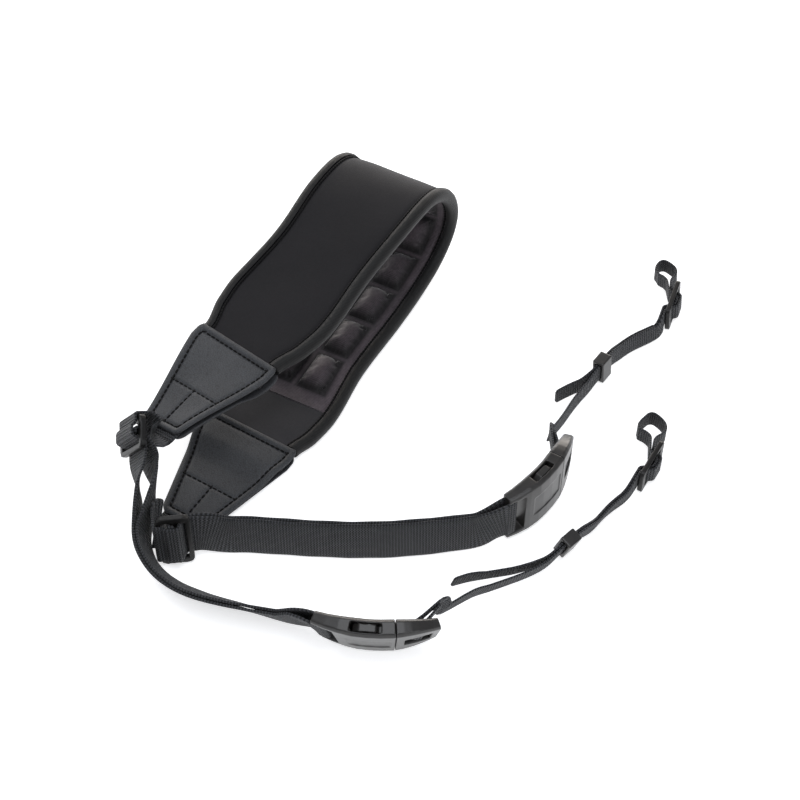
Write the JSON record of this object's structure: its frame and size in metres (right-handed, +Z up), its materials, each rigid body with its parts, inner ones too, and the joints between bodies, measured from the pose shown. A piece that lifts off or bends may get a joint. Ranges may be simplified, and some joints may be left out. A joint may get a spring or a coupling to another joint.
{
  "type": "camera neck strap",
  "caption": "Padded camera neck strap with air cells, leather ends, webbing, side-release buckles and camera loops, folded over on itself.",
  "frame": {"origin": "middle of the bounding box at the level of the table, under the gap between the pad and the buckles", "axes": "+Z up from the table, +Y away from the viewer of the picture, +X to that viewer's right"},
  "size_m": [0.3032, 0.3128, 0.0703],
  "materials": {
    "foam_cloth": "smooth black stretch fabric over foam",
    "inner_cloth": "fine black knit with a faint plum cast",
    "leather": "grained black leather, soft sheen",
    "webbing": "woven black webbing with fine cross ribs",
    "moulding": "glossy black moulded plastic"
  },
  "bodies": {
    "root": {"pad_shell": "foam_cloth", "binding_left": "foam_cloth", "binding_right": "foam_cloth", "air_cell_panel": "inner_cloth", "end_panel_a": "inner_cloth", "end_panel_b": "inner_cloth", "patch_outer_a": "leather", "patch_inner_a": "leather", "patch_outer_b": "leather", "patch_inner_b": "leather", "webbing_wide_a": "webbing", "webbing_wide_b": "webbing", "webbing_narrow_a": "webbing", "webbing_narrow_b": "webbing", "slider_a": "moulding", "slider_b": "moulding", "buckle_socket_a": "moulding", "buckle_socket_b": "moulding", "buckle_plug_a": "moulding", "buckle_plug_b": "moulding", "keeper_a": "moulding", "keeper_b": "moulding", "loop_slider_a": "moulding", "loop_slider_b": "moulding"}
  },
  "joints": []
}
